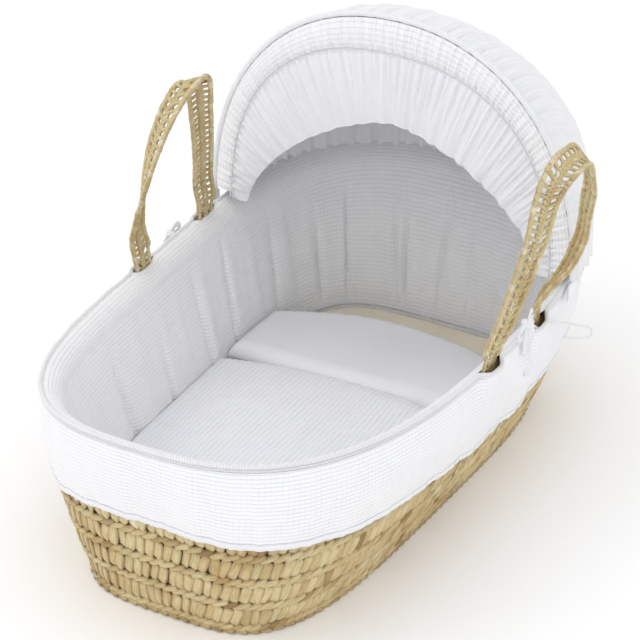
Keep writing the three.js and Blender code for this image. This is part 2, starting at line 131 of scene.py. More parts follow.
def add_studio():
    add_light("key", (-1.2, 1.6, 2.4), (0.0, 0.0, 0.2), 1.6, 13, (1.0, 0.985, 0.96))
    add_light("front", (-2.6, -1.0, 1.2), (0.0, 0.0, 0.15), 1.8, 7, (0.97, 0.985, 1.0))
    add_light("side", (0.9, -2.4, 1.5), (0.1, 0.0, 0.2), 1.8, 4, (1.0, 1.0, 1.0))
    world = bpy.data.worlds.new("studio")
    world.use_nodes = True
    backdrop = world.node_tree.nodes["Background"]
    backdrop.inputs["Color"].default_value = (0.985, 0.988, 1.0, 1)
    backdrop.inputs["Strength"].default_value = 1.0
    bpy.context.scene.world = world
    bpy.context.scene.view_settings.view_transform = "Standard"
    bpy.context.scene.view_settings.look = "None"
    half = 6.0
    mesh = bpy.data.meshes.new("floor")
    corners = [(x * half, y * half, -0.0005) for x, y in ((-1, -1), (1, -1), (1, 1), (-1, 1))]
    mesh.from_pydata(corners, [], [(0, 1, 2, 3)])
    floor = bpy.data.objects.new("floor", mesh)
    bpy.context.collection.objects.link(floor)
    mesh.materials.append(plain_material("floor_paper", (0.97, 0.97, 0.97), 0.9))


# ------------------------------------------------------------------ materials

class Nodes:
    """A short way to build a material's nodes."""

    def __init__(self, name):
        self.material = bpy.data.materials.new(name)
        self.material.use_nodes = True
        self.tree = self.material.node_tree
        self.shader = self.tree.nodes["Principled BSDF"]

    def add(self, kind, **inputs):
        node = self.tree.nodes.new(kind)
        for key, value in inputs.items():
            if key in ("operation", "blend_type", "data_type", "wave_type", "feature", "attribute_name",
                       "uv_map", "bands_direction"):
                setattr(node, key, value)
            else:
                self.put(node.inputs[int(key[1:]) if key[1:].isdigit() else key.replace("_", " ")], value)
        return node

    def put(self, socket, value):
        if isinstance(value, bpy.types.NodeSocket):
            self.tree.links.new(value, socket)
        else:
            socket.default_value = value

    def math(self, operation, a, b=0.0, c=0.0):
        return self.add("ShaderNodeMath", operation=operation, i0=a, i1=b, i2=c).outputs[0]

    def mix(self, share, a, b, blend="MIX"):
        node = self.add("ShaderNodeMix", data_type="RGBA", blend_type=blend)
        self.put(node.inputs[0], share)
        self.put(node.inputs[6], a)
        self.put(node.inputs[7], b)
        return node.outputs[2]

    def noise(self, vector, scale, detail=3.0, rough=0.55):
        node = self.add("ShaderNodeTexNoise", Vector=vector, Scale=scale, Detail=detail, Roughness=rough)
        return node.outputs[0]

    def ramp(self, value, stops):
        node = self.add("ShaderNodeValToRGB", i0=value)
        ramp = node.color_ramp
        while len(ramp.elements) < len(stops):
            ramp.elements.new(0.5)
        for element, (at, color) in zip(ramp.elements, stops):
            element.position = at
            element.color = (*color, 1)
        return node.outputs[0]

    def bump(self, height, distance, strength=1.0, normal=None):
        node = self.add("ShaderNodeBump", Height=height, Distance=distance, Strength=strength)
        if normal is not None:
            self.put(node.inputs["Normal"], normal)
        return node.outputs[0]

    def object_place(self):
        return self.add("ShaderNodeTexCoord").outputs["Object"]

    def uv(self):
        return self.add("ShaderNodeUVMap", uv_map="cloth").outputs[0]

    def finish(self, color, rough, normal=None, sheen=0.0, specular=0.3):
        self.put(self.shader.inputs["Base Color"], color)
        self.put(self.shader.inputs["Roughness"], rough)
        self.put(self.shader.inputs["Specular IOR Level"], specular)
        self.put(self.shader.inputs["Sheen Weight"], sheen)
        self.put(self.shader.inputs["Sheen Roughness"], 0.5)
        if normal is not None:
            self.put(self.shader.inputs["Normal"], normal)
        return self.material


def plain_material(name, color, rough):
    n = Nodes(name)
    grain = n.noise(n.object_place(), 3.0)
    shade = n.ramp(grain, [(0.0, tuple(0.985 * c for c in color)), (1.0, color)])
    return n.finish(shade, rough)


def palm_material(name, light=1.0):
    """Dry palm leaf: each strip has its own tone, with streaks along it, darker long edges and painted shade
    at its tucked ends.
    """
    n = Nodes(name)
    tint = n.add("ShaderNodeAttribute", attribute_name="tint").outputs["Fac"]
    uv = n.add("ShaderNodeSeparateXYZ", i0=n.uv())
    across, along = uv.outputs[0], uv.outputs[1]
    spread = n.math("MULTIPLY", tint, 41.0)
    place = n.add("ShaderNodeCombineXYZ", i0=n.math("MULTIPLY_ADD", across, 5.0, spread),
                  i1=n.math("MULTIPLY_ADD", along, 0.7, spread), i2=spread).outputs[0]
    base = n.ramp(tint, [
        (0.0, (0.36, 0.24, 0.10)), (0.14, (0.56, 0.41, 0.20)), (0.34, (0.72, 0.57, 0.31)),
        (0.55, (0.80, 0.66, 0.39)), (0.74, (0.70, 0.60, 0.33)), (0.88, (0.87, 0.75, 0.49)),
        (1.0, (0.93, 0.85, 0.64))])
    streak = n.noise(place, 2.6, 5.0, 0.65)
    shade = n.ramp(streak, [(0.28, (0.62, 0.58, 0.50)), (0.5, (0.95, 0.94, 0.92)), (0.72, (1.12, 1.12, 1.1))])
    color = n.mix(1.0, base, shade, "MULTIPLY")
    patches = n.noise(n.object_place(), 14.0, 3.0)
    patch = n.ramp(patches, [(0.36, (0.80, 0.70, 0.52)), (0.52, (1.0, 1.0, 1.0)), (0.75, (1.06, 1.08, 1.05))])
    color = n.mix(0.75, color, patch, "MULTIPLY")
    # Painted shade: each strip darkens towards its tucked ends, where it passes under its neighbours, and it
    # also darkens towards its long edges.
    rim = n.math("ABSOLUTE", n.math("MULTIPLY_ADD", across, 2.0, -1.0))
    end = n.math("ABSOLUTE", n.math("MULTIPLY_ADD", along, 2.0, -1.0))
    edge = n.math("MAXIMUM", n.math("POWER", rim, 5.0), n.math("POWER", end, 7.0))
    color = n.mix(n.math("MULTIPLY", edge, 0.62), color, (0.20, 0.135, 0.06, 1))
    # A `light` below 1 makes a darker copy of the leaf, used as painted shade on the cores between the
    # strips.
    color = n.mix(1.0, color, (light, light, light, 1), "MULTIPLY")
    fibre = n.noise(place, 6.0, 4.0, 0.7)
    normal = n.bump(n.math("MULTIPLY_ADD", streak, 0.6, fibre), 0.0011, 0.9)
    return n.finish(color, n.ramp(streak, [(0.2, (0.82,) * 3), (0.8, (0.52,) * 3)]), normal, 0.0, 0.35)


def waffle_material(name, color, cell=(0.0062, 0.0054), groove_shade=0.84, depth=0.0008):
    """Waffle cotton: rows of small puffed cells between fine sunk lines, sized by the cloth's own metres."""
    n = Nodes(name)
    uv = n.add("ShaderNodeSeparateXYZ", i0=n.uv())
    wander = n.noise(n.object_place(), 9.0, 2.0)
    lines = []
    for axis in (0, 1):
        moved = n.math("MULTIPLY_ADD", wander, 0.0034, uv.outputs[axis])
        turns = n.math("FRACT", n.math("DIVIDE", moved, cell[axis]))
        away = n.math("ABSOLUTE", n.math("SUBTRACT", turns, 0.5))
        lines.append(n.math("POWER", n.math("MULTIPLY", away, 2.0), 3.4))
    sunk = n.math("MAXIMUM", n.math("MULTIPLY", lines[0], 0.62), lines[1])
    thread = n.noise(n.object_place(), 900.0, 2.0)
    height = n.math("SUBTRACT", n.math("MULTIPLY", thread, 0.12), sunk)
    soft = n.noise(n.object_place(), 22.0, 3.0)
    normal = n.bump(soft, 0.0030, 0.25)
    normal = n.bump(height, depth, 0.8, normal)
    # Painted shade: the colour darkens in the sunk lines between the cells, unevenly from place to place.
    low = tuple(groove_shade * c for c in color)
    groove_shade_mask = n.math("MULTIPLY", sunk, n.math("MULTIPLY_ADD", n.noise(n.object_place(), 38.0, 2.0), 1.5, 0.05))
    shade = n.ramp(groove_shade_mask, [(0.2, color), (1.0, low)])
    worn = n.ramp(n.noise(n.object_place(), 6.0, 3.0), [(0.3, (0.97, 0.972, 0.98)), (0.7, (1.0, 1.0, 1.0))])
    return n.finish(n.mix(1.0, shade, worn, "MULTIPLY"), 0.9, normal, 0.2, 0.15)


def cotton_material(name, color, weave=0.0011, wrinkle=0.25):
    """Plain woven cotton: a fine over-and-under weave with soft wrinkles."""
    n = Nodes(name)
    uv = n.add("ShaderNodeSeparateXYZ", i0=n.uv())
    waves = [n.math("SINE", n.math("MULTIPLY", uv.outputs[axis], 2 * math.pi / weave)) for axis in (0, 1)]
    over = n.math("MULTIPLY", waves[0], waves[1])
    normal = n.bump(n.noise(n.object_place(), 28.0, 4.0), 0.004, wrinkle)
    normal = n.bump(over, 0.00022, 0.5, normal)
    tone = n.ramp(n.noise(n.object_place(), 11.0, 4.0),
                  [(0.3, tuple(0.965 * c for c in color)), (0.7, color)])
    # Painted shade: the weave's low threads are slightly darkened.
    tone = n.mix(0.05, tone, n.ramp(over, [(0.0, (0.6, 0.6, 0.62)), (1.0, (1, 1, 1))]), "MULTIPLY")
    return n.finish(tone, 0.82, normal, 0.3, 0.22)


def knit_material(name, color):
    """Knitted cover: short ribs with a slight diagonal drift."""
    n = Nodes(name)
    place = n.object_place()
    wave = n.add("ShaderNodeTexWave", wave_type="BANDS", bands_direction="DIAGONAL", Vector=place,
                 Scale=95.0, Distortion=1.2, Detail=2.0).outputs[1]
    normal = n.bump(n.noise(place, 16.0, 3.0), 0.004, 0.3)
    normal = n.bump(wave, 0.0005, 0.5, normal)
    tone = n.ramp(n.noise(place, 8.0, 4.0), [(0.3, tuple(0.93 * c for c in color)), (0.7, color)])
    # Painted shade: the knit darkens between its ribs.
    tone = n.mix(0.25, tone, n.ramp(wave, [(0.0, (0.86, 0.85, 0.80)), (1.0, (1, 1, 1))]), "MULTIPLY")
    return n.finish(tone, 0.85, normal, 0.2, 0.2)


def twist_material(name, color, pitch=0.0032):
    """Covered cord: fine slanting ribs that follow the cord's own length."""
    n = Nodes(name)
    uv = n.add("ShaderNodeSeparateXYZ", i0=n.uv())
    slant = n.math("ADD", n.math("DIVIDE", uv.outputs[0], pitch), uv.outputs[1])
    rib = n.math("SINE", n.math("MULTIPLY", slant, 2 * math.pi))
    raised = n.math("MULTIPLY_ADD", rib, 0.5, 0.5)
    # Painted shade: the cord darkens in the grooves between its ribs.
    tone = n.ramp(raised, [(0.0, tuple(0.86 * c for c in color)), (0.6, color)])
    return n.finish(tone, 0.8, n.bump(rib, 0.0006, 0.6), 0.2, 0.25)


# ------------------------------------------------------------------ meshes

def grid_faces(rows, cols, close_rows=False, close_cols=False):
    """Quads over a grid of points, numbered row by row."""
    r = np.arange(rows if close_rows else rows - 1)
    c = np.arange(cols if close_cols else cols - 1)
    r, c = (x.ravel() for x in np.meshgrid(r, c, indexing="ij"))
    r2, c2 = (r + 1) % rows, (c + 1) % cols
    return np.stack([r * cols + c, r * cols + c2, r2 * cols + c2, r2 * cols + c], axis=1)


def add_mesh(name, points, faces, material, body=None, uv=None, tint=None, caps=()):
    """A smooth mesh from arrays. `uv` and `tint` are given for each point, `caps` are extra polygons."""
    points = np.asarray(points, float).reshape(-1, 3)
    mesh = bpy.data.meshes.new(name)
    mesh.from_pydata(points.tolist(), [], [list(map(int, f)) for f in faces] + [list(c) for c in caps])
    corners = np.empty(len(mesh.loops), np.int32)
    mesh.loops.foreach_get("vertex_index", corners)
    if uv is not None:
        layer = mesh.uv_layers.new(name="cloth")
        layer.data.foreach_set("uv", np.asarray(uv, float).reshape(-1, 2)[corners].ravel())
    if tint is not None:
        layer = mesh.attributes.new("tint", "FLOAT", "POINT")
        layer.data.foreach_set("value", np.asarray(tint, float).ravel())
    mesh.shade_smooth()
    mesh.materials.append(material)
    piece = bpy.data.objects.new(name, mesh)
    bpy.context.collection.objects.link(piece)
    if body:
        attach(piece, body)
    return piece


def unit(v):
    return v / np.maximum(np.linalg.norm(v, axis=-1, keepdims=True), 1e-12)


def smoothstep(x):
    x = np.clip(x, 0, 1)
    return x * x * (3 - 2 * x)


def leaf_batch(centre, along, across, out, size, slant=None, rings=7, sides=10, square=0.55, taper=0.82):
    """Many closed strips of leaf. Each has a centre, three directions and [length, width, thickness]."""
    count = len(centre)
    t = np.linspace(-1, 1, rings)
    turn = np.arange(sides) * 2 * np.pi / sides + np.pi / sides
    c, s = np.cos(turn), np.sin(turn)
    c, s = np.sign(c) * np.abs(c) ** square, np.sign(s) * np.abs(s) ** square
    width = taper + (1 - taper) * (1 - t ** 2)
    width[[0, -1]] *= 0.72
    thick = np.sqrt(np.clip(1 - np.abs(t) ** 3, 0.03, 1))
    a = size[:, None, None, 0] / 2 * t[None, :, None]
    b = size[:, None, None, 1] / 2 * (width[:, None] * c[None, :])[None]
    h = size[:, None, None, 2] / 2 * (thick[:, None] * s[None, :])[None]
    ridge = 0.12 * size[:, None, None, 2] * np.cos(3.1 * np.pi * c)[None, None, :] * (s > 0)[None, None, :]
    h = h + ridge * thick[None, :, None]
    points = (centre[:, None, None] + along[:, None, None] * a[..., None]
              + across[:, None, None] * b[..., None] + out[:, None, None] * h[..., None])
    one = grid_faces(rings, sides, close_cols=True)
    per = rings * sides
    faces = (one[None] + (np.arange(count) * per)[:, None, None]).reshape(-1, 4)
    caps = []
    ends = np.arange(sides)
    for k in range(count):
        caps.append((ends[::-1] + k * per).tolist())
        caps.append((ends + k * per + per - sides).tolist())
    u = np.broadcast_to((c * 0.5 + 0.5)[None, None, :], (count, rings, sides))
    v = np.broadcast_to((t * 0.5 + 0.5)[None, :, None], (count, rings, sides))
    return points.reshape(-1, 3), faces[:, ::-1], caps, np.stack([u, v], -1).reshape(-1, 2), per


def add_leaves(name, batches, material, body=None):
    """One piece out of several leaf batches, each with a shade for every leaf."""
    points, faces, caps, uvs, tints, start = [], [], [], [], [], 0
    for (p, f, c, uv, per), shade in batches:
        points.append(p)
        faces.append(f + start)
        caps.extend([[i + start for i in cap] for cap in c])
        uvs.append(uv)
        tints.append(np.repeat(shade, per))
        start += len(p)
    return add_mesh(name, np.concatenate(points), np.concatenate(faces), material, body,
                    np.concatenate(uvs), np.concatenate(tints), caps)


def tube(name, path, radius, material, body=None, sides=10, closed=False, flat=1.0, face=None):
    """A tube along a path, with end caps. `flat` squeezes it along `face`."""
    path = np.asarray(path, float)
    count = len(path)
    if closed:
        tangent = unit(np.roll(path, -1, 0) - np.roll(path, 1, 0))
    else:
        tangent = unit(np.gradient(path, axis=0))
    if face is None:
        face = np.array([0.0, 0.0, 1.0])
    face = np.broadcast_to(np.asarray(face, float), path.shape)
    wide = unit(np.cross(tangent, face))
    thick = unit(np.cross(wide, tangent))
    radius = np.broadcast_to(np.asarray(radius, float), (count,))
    turn = np.arange(sides) * 2 * np.pi / sides
    ring = (wide[:, None] * np.cos(turn)[None, :, None]
            + thick[:, None] * (flat * np.sin(turn))[None, :, None])
    points = path[:, None] + ring * radius[:, None, None]
    step = np.linalg.norm(np.diff(path, axis=0), axis=1)
    length = np.concatenate([[0], np.cumsum(step)])
    uv = np.stack(np.broadcast_arrays(length[:, None], (turn / (2 * np.pi))[None, :]), -1)
    faces = grid_faces(count, sides, close_rows=closed, close_cols=True)
    caps = [] if closed else [list(range(sides)), list(range(count * sides - 1, (count - 1) * sides - 1, -1))]
    return add_mesh(name, points, faces[:, ::-1], material, body, uv, None, caps)


def catmull(points, per_span=12):
    """A centripetal Catmull-Rom curve through points, closely sampled."""
    p = np.asarray(points, float)
    p = np.concatenate([[2 * p[0] - p[1]], p, [2 * p[-1] - p[-2]]])
    out = []
    for i in range(1, len(p) - 2):
        q = p[i - 1:i + 3]
        t = np.concatenate([[0], np.cumsum(np.linalg.norm(np.diff(q, axis=0), axis=1) ** 0.5)])
        x = np.linspace(t[1], t[2], per_span, endpoint=False)[:, None]
        a = [(t[k + 1] - x) / (t[k + 1] - t[k]) * q[k] + (x - t[k]) / (t[k + 1] - t[k]) * q[k + 1]
             for k in range(3)]
        b = [(t[k + 2] - x) / (t[k + 2] - t[k]) * a[k] + (x - t[k]) / (t[k + 2] - t[k]) * a[k + 1]
             for k in range(2)]
        out.append((t[2] - x) / (t[2] - t[1]) * b[0] + (x - t[1]) / (t[2] - t[1]) * b[1])
    return np.concatenate(out + [p[-2:-1]])


def ripples(x, waves, seed):
    """Smooth irregular ripples over one closed turn: a sum of whole waves with random phases."""
    local = np.random.default_rng(seed)
    total = np.zeros_like(x)
    for wave, height in waves:
        total = total + height * np.sin(wave * x + local.uniform(0, 2 * np.pi))
    return total


# ------------------------------------------------------------------ the wall's shape

def outline(shape, angle):
    c, s = np.cos(angle), np.sin(angle)
    k = (np.abs(c) ** shape["power"] + np.abs(s) ** shape["power"]) ** (-1 / shape["power"])
    u, v = c * k, s * k
    nx = np.sign(u) * np.abs(u) ** (shape["power"] - 1) / shape["length"]
    ny = np.sign(v) * np.abs(v) ** (shape["power"] - 1) / shape["width"]
    size = np.hypot(nx, ny)
    x = shape["offset"] + shape["length"] * u
    y = shape["width"] * v * (1 + EGG * u)
    return x, y, nx / size, ny / size


def rim_top(angle):
    return RIM_MIDDLE + RIM_RISE * (outline(RIM, angle)[0] / RIM["length"]) ** 2


def wall(angle, z, offset):
    """The point on the basket's wall at an angle and a height, moved outward by `offset`."""
    angle, z, offset = np.broadcast_arrays(*(np.asarray(v, float) for v in (angle, z, offset)))
    fx, fy, fnx, fny = outline(BASE, angle)
    tx, ty, tnx, tny = outline(RIM, angle)
    share = z / rim_top(angle)
    nx, ny = fnx + (tnx - fnx) * share, fny + (tny - fny) * share
    size = np.hypot(nx, ny)
    nx, ny = nx / size, ny / size
    bulge = END_BULGE + (SIDE_BULGE - END_BULGE) * np.abs(ny)
    out = offset + bulge * 4 * share * (1 - share)
    return np.stack([fx + (tx - fx) * share + nx * out, fy + (ty - fy) * share + ny * out, z], -1)


def wall_axes(angle, z, offset=0.0):
    """A wall point with its directions round the wall, up the wall and outward."""
    here = wall(angle, z, offset)
    around = unit(wall(angle + 1e-3, z, offset) - wall(angle - 1e-3, z, offset))
    up = unit(wall(angle, z + 1e-4, offset) - wall(angle, z - 1e-4, offset))
    return here, around, up, unit(np.cross(around, up))


def even_angles(count, z, start=0.0):
    """Angles that divide the wall's ring at a height into equal lengths."""
    fine = np.linspace(0, 2 * np.pi, 2881)
    ring = wall(fine, np.minimum(z, rim_top(fine)), 0.0)
    length = np.concatenate([[0], np.cumsum(np.linalg.norm(np.diff(ring, axis=0), axis=1))])
    want = (np.arange(count) + start) / count * length[-1]
    return np.interp(want % length[-1], length, fine), length[-1]


def course_level(share, angle):
    return BASE_TOP + (rim_top(angle) - RIM_COIL - BASE_TOP) * share


def angle_at(x, side):
    fine = np.linspace(0, np.pi, 4001)
    return side * float(np.interp(-x, -outline(RIM, fine)[0], fine))


FEET = {
    "right_front": (RIGHT_ROUTE[0][0] * MM, -1), "right_rear": (RIGHT_ROUTE[-1][0] * MM, -1),
    "left_front": (LEFT_ROUTE[0][0] * MM, 1), "left_rear": (LEFT_ROUTE[-1][0] * MM, 1),
}


# ------------------------------------------------------------------ palm wall

def wrap_row(low, high, count, seed):
    """One wide course: upright leaf wraps side by side, each a little slanted."""
    local = np.random.default_rng(seed)
    angle, around = even_angles(count, 0.09, local.random())
    pitch = around / count
    level = 0.5 * (low + high)
    here, side, up, out = wall_axes(angle, course_level(level, angle))
    top = wall(angle, course_level(high, angle), 0.0)
    foot = wall(angle, course_level(low, angle), 0.0)
    tall = np.linalg.norm(top - foot, axis=1)
    slant = 0.24 + local.normal(0, 0.09, count)
    along = unit(up + side * slant[:, None])
    across = unit(np.cross(along, out))
    size = np.stack([tall * 1.10 * (1 + local.normal(0, 0.035, count)),
                     pitch * local.uniform(1.05, 1.42, count),
                     local.uniform(0.0034, 0.0052, count)], 1)
    lap = local.normal(0.20, 0.07, count)[:, None]
    across, out = unit(across + out * lap), unit(out - across * lap)
    here = here + out * local.uniform(-0.0014, 0.0002, count)[:, None]
    here = here + side * local.normal(0, 0.0007, count)[:, None]
    shade = np.clip(local.normal(0.46, 0.17, count), 0, 1)
    return leaf_batch(here, along, across, out, size, square=0.46, taper=0.90), shade


def twist_row(level, count, seed, thick=0.0066, tall=0.0086, height=None):
    """A narrow binding row: short slanted leaf turns that overlap like the strands of a rope."""
    local = np.random.default_rng(seed)
    angle, around = even_angles(count, 0.09, local.random())
    pitch = around / count
    z = course_level(level, angle) if height is None else np.full(count, height)
    here, side, up, out = wall_axes(angle, z)
    lean = 0.42 + local.normal(0, 0.07, count)
    along = unit(side + up * lean[:, None])
    across = unit(np.cross(out, along))
    size = np.stack([pitch * 1.80 * (1 + local.normal(0, 0.05, count)),
                     tall * local.uniform(0.88, 1.08, count),
                     thick * local.uniform(0.9, 1.1, count)], 1)
    here = here - out * 0.0004
    shade = np.clip(local.normal(0.42, 0.18, count), 0, 1)
    return leaf_batch(here, along, across, out, size, square=0.8, rings=9), shade


def add_palm_wall(palm, palm_painted_shade):
    wraps, twists = [], []
    for course in range(COURSES):
        low = course / COURSES
        middle = (course + COURSE_SHARE) / COURSES
        high = (course + 1) / COURSES
        wraps.append(wrap_row(low, middle, 172 + 3 * course, 20 + course))
        twists.append(twist_row(0.5 * (middle + high), 150, 40 + course))
    twists.append(twist_row(0, 168, 51, 0.0070, 0.0088, height=0.0066))
    add_leaves("palm_wraps", wraps, palm, "basket")
    bindings = add_leaves("palm_bindings", twists, palm, "basket")
    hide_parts("rim_coil")
    cores = [f"wall_{kind}_{i + 1}" for i in range(COURSES) for kind in ("course", "binding")]
    # The cores under the leaves get the darker leaf copy: painted shade seen through the gaps between strips.
    for node in ["base_panel"] + cores:
        carried = bpy.data.objects[node]
        carried.data.materials.clear()
        carried.data.materials.append(palm_painted_shade)


def add_base_rings(palm):
    """The underside: flat plaited rounds, each a closed ring of slanted leaf turns."""
    batches = []
    for ring in range(9):
        share = 1 - ring / 9.4
        fine = np.linspace(0, 2 * np.pi, 1441)
        x, y, _, _ = outline(BASE, fine)
        points = np.stack([x * share, y * share], 1)
        if ring > 5:
            points[:, 0] = x * (share + 0.10 * (ring - 5))
        length = np.concatenate([[0], np.cumsum(np.linalg.norm(np.diff(points, axis=0), axis=1))])
        count = max(12, int(length[-1] / 0.0135))
        local = np.random.default_rng(70 + ring)
        want = (np.arange(count) + 0.5) / count * length[-1]
        here, ahead = (np.stack([np.interp(at % length[-1], length, points[:, k]) for k in (0, 1)]
                                + [np.full(count, 0.0021)], 1) for at in (want, want + 0.002))
        side = unit(ahead - here)
        down = np.broadcast_to(np.array([0.0, 0.0, -1.0]), side.shape)
        away = np.cross(side, down)
        along = unit(side + away * (0.45 if ring % 2 else -0.45))
        across = unit(np.cross(down, along))
        size = np.tile((0.024, 0.0135, 0.0040), (count, 1))
        batches.append((leaf_batch(here, along, across, down, size),
                        np.clip(local.normal(0.5, 0.2, count), 0, 1)))
    add_leaves("base_plait", batches, palm, "basket")


# ------------------------------------------------------------------ straps

class Strap:
    """A woven strap along a path, with its width and thickness directions at each point."""

    def __init__(self, path, wide, thick):
        step = np.linalg.norm(np.diff(path, axis=0), axis=1)
        self.length = np.concatenate([[0], np.cumsum(step)])
        self.path, self.wide, self.thick = path, wide, thick

    def at(self, distance):
        def take(values):
            return np.stack([np.interp(distance, self.length, values[:, k]) for k in range(3)], -1)
        along = unit(take(np.gradient(self.path, axis=0)))
        return take(self.path), along, unit(take(self.wide)), unit(take(self.thick))

    def leaves(self, pitch, sideways, reach, width, deep, slant, seed, lift=0.0, square=0.7, shade=0.55):
        """A row of leaf turns along the strap, `sideways` from its middle."""
        local = np.random.default_rng(seed)
        count = max(2, int(self.length[-1] / pitch))
        distance = (np.arange(count) + 0.5) * self.length[-1] / count
        here, along, wide, thick = self.at(distance)
        lean = slant + local.normal(0, 0.06, count)
        line = unit(along * np.cos(lean)[:, None] + wide * np.sin(lean)[:, None])
        across = unit(np.cross(thick, line))
        size = np.stack([reach * local.uniform(0.93, 1.07, count), width * local.uniform(0.9, 1.1, count),
                         deep * local.uniform(0.9, 1.1, count)], 1)
        here = here + wide * sideways + thick * lift
        tints = np.clip(local.normal(shade, 0.17, count), 0, 1)
        return leaf_batch(here, line, across, thick, size, rings=5, sides=8, square=square), tints


def strap_batches(strap, seed, deep=1.0):
    """Every leaf of a strap: two wrapped edges, a braided middle rib and the cross turns between."""
    batches = []
    edge = STRAP_HALF - 0.0033
    for k, side in enumerate((-1, 1)):
        batches.append(strap.leaves(0.0070, side * edge, 0.0165, 0.0068, 0.0074 * deep, side * 0.10,
                                    seed + k, square=0.9, shade=0.70))
        batches.append(strap.leaves(0.0058, side * 0.0019, 0.0102, 0.0050, 0.0050 * deep, side * 0.60,
                                    seed + 3 + k, square=0.8, shade=0.62))
        batches.append(strap.leaves(0.0112, side * 0.0081, 0.0126, 0.0052, 0.0034 * deep, side * 1.10,
                                    seed + 6 + k, lift=0.0004, square=0.7, shade=0.58))
    return batches


def handle_route(route, side, lean):
    """The middle line of a handle's strap, eased in towards the wall at its two feet."""
    per = 24
    points = np.array([(x * MM, side * (HANDLE_PIVOT[0] + out * MM), HANDLE_PIVOT[1] + up * MM)
                       for x, out, up, _ in route])
    path = catmull(points, per)
    turn = np.radians(np.interp(np.arange(len(path)) / per, np.arange(len(route)), [p[3] for p in route]))
    rise = path[:, 2] - HANDLE_PIVOT[1]
    path[:, 1] -= side * 0.0075 * (1 - smoothstep((rise - 0.004) / 0.05))
    tilt = math.radians(lean)
    face = np.array([0.0, side * math.cos(tilt), -math.sin(tilt)])
    along = unit(np.gradient(path, axis=0))
    away = -side * unit(np.cross(face, along))
    normal = face * np.cos(turn)[:, None] + away * np.sin(turn)[:, None]
    wide = unit(np.cross(normal, along))
    return path, wide, unit(np.cross(along, wide))


def foot_path(foot, end):
    """The tucked end of a strap, from the wall below the skirt's hem up to the handle's own end."""
    x, side = foot
    angle = angle_at(x, side)
    depth = np.array([0.158, 0.130, 0.100, 0.070, 0.045, 0.024])
    low = wall(angle, rim_top(angle) - depth, 0.0030)
    return catmull(np.vstack([low, end]), 10)


def add_straps(palm):
    for name, route, side, lean, seed in (("right", RIGHT_ROUTE, -1, 14, 100),
                                          ("left", LEFT_ROUTE, 1, -16, 200)):
        path, wide, thick = handle_route(route, side, lean)
        piece = add_leaves(f"strap_{name}", strap_batches(Strap(path, wide, thick), seed), palm,
                           f"handle_{name}")
        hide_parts(*[f"handle_{name}_{part}" for part in ("outer_edge", "lattice", "inner_edge")])
        for which, end, foot_seed in (("front", path[0], seed + 20), ("rear", path[-1], seed + 10)):
            line = foot_path(FEET[f"{name}_{which}"], end)
            along = unit(np.gradient(line, axis=0))
            across = unit(np.cross((0.0, float(side), 0.0), along))
            anchor = Strap(line, across, unit(np.cross(along, across)))
            piece = add_leaves(f"strap_{name}_{which}_foot", strap_batches(anchor, foot_seed, 0.55), palm)
            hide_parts(f"strap_anchor_{name}_{which}")
            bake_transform(piece)


# ------------------------------------------------------------------ ties

RIGHT_TIE = {
    "tail_long": [(62, -246.5, 242), (64, -249, 234), (64, -248, 218), (66, -247.5, 200),
                  (69, -247, 184), (67, -246.5, 168)],
    "tail_short": [(56, -246.5, 242), (52, -248.5, 234), (51, -248, 220), (53, -247.5, 203)],
    "loop": [(67, -245, 241), (74, -248.5, 233), (86, -249, 224), (108, -249, 217), (134, -249, 208),
             (156, -251, 198), (174, -264, 189), (184, -278, 183), (178, -281, 177), (166, -270, 176),
             (152, -256, 181)],
}
LEFT_TIE = {
    "tail_long": [(77, 251, 219), (79, 251, 207), (78, 251, 192), (81, 250, 176), (79, 250, 163)],
    "tail_short": [(71, 251, 219), (67, 251, 209), (66, 251, 198), (68, 251, 186)],
}
TIE_WIDTHS = {
    "right": {"tail_long": 0.0112, "tail_short": 0.0064, "loop": 0.0030},
    "left": {"tail_long": 0.0050, "tail_short": 0.0050},
}
KNOTS = {"right": (0.060, -0.244, 0.243), "left": (0.075, 0.252, 0.226)}


def add_ties(cotton):
    """Two tied tapes."""
    for side, tie in (("right", RIGHT_TIE), ("left", LEFT_TIE)):
        outward = -1.0 if side == "right" else 1.0
        tail_face = (-0.45, -0.87, 0.20) if side == "right" else (0.0, 1.0, 0.1)
        for part, route in tie.items():
            name = f"tie_{side}_{part}"
            loop = part == "loop"
            path = catmull(np.array(route) * MM, 8)
            width = TIE_WIDTHS[side][part]
            piece = tube(name + "_tape", path, width / 2, cotton, "basket", 12, flat=0.85 if loop else 0.20,
                         face=(0.0, outward, 0.1) if loop else tail_face)
            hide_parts(name)
        add_knot(side, np.array(KNOTS[side]), outward, cotton)


def add_knot(side, centre, outward, cotton):
    """A small bow: a wrapped middle with a flat loop at each side."""
    turn = np.linspace(0, 2 * np.pi, 48, endpoint=False)
    c, s = np.cos(turn)[:, None], np.sin(turn)[:, None]
    out = np.array([0.0, outward, 0.0])
    for k, (reach, drop, wide) in enumerate(((-0.020, -0.014, 0.0085), (0.017, 0.006, 0.0070))):
        size = math.hypot(reach, drop)
        heading = np.array([reach, 0.0, drop]) / size
        across = np.array([-heading[2], 0.0, heading[0]])
        loop = (centre + heading * size * 0.5 * (1 - c) + across * wide * s * (0.5 - 0.5 * c) ** 0.5
                + out * (0.0016 + 0.0012 * c))
        tube(f"tie_{side}_bow_{k}", loop, 0.0036, cotton, "basket", 10, closed=True, flat=0.45,
                           face=out)
    wrap = centre + np.concatenate([0.0044 * c, outward * (0.0018 + 0.0034 * s), 0.0014 * 2 * s * c], 1)
    middle = tube(f"tie_{side}_knot_wrap", wrap, 0.0042, cotton, "basket", 10, closed=True)
    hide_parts(f"tie_{side}_knot")


# ------------------------------------------------------------------ fabric dressing

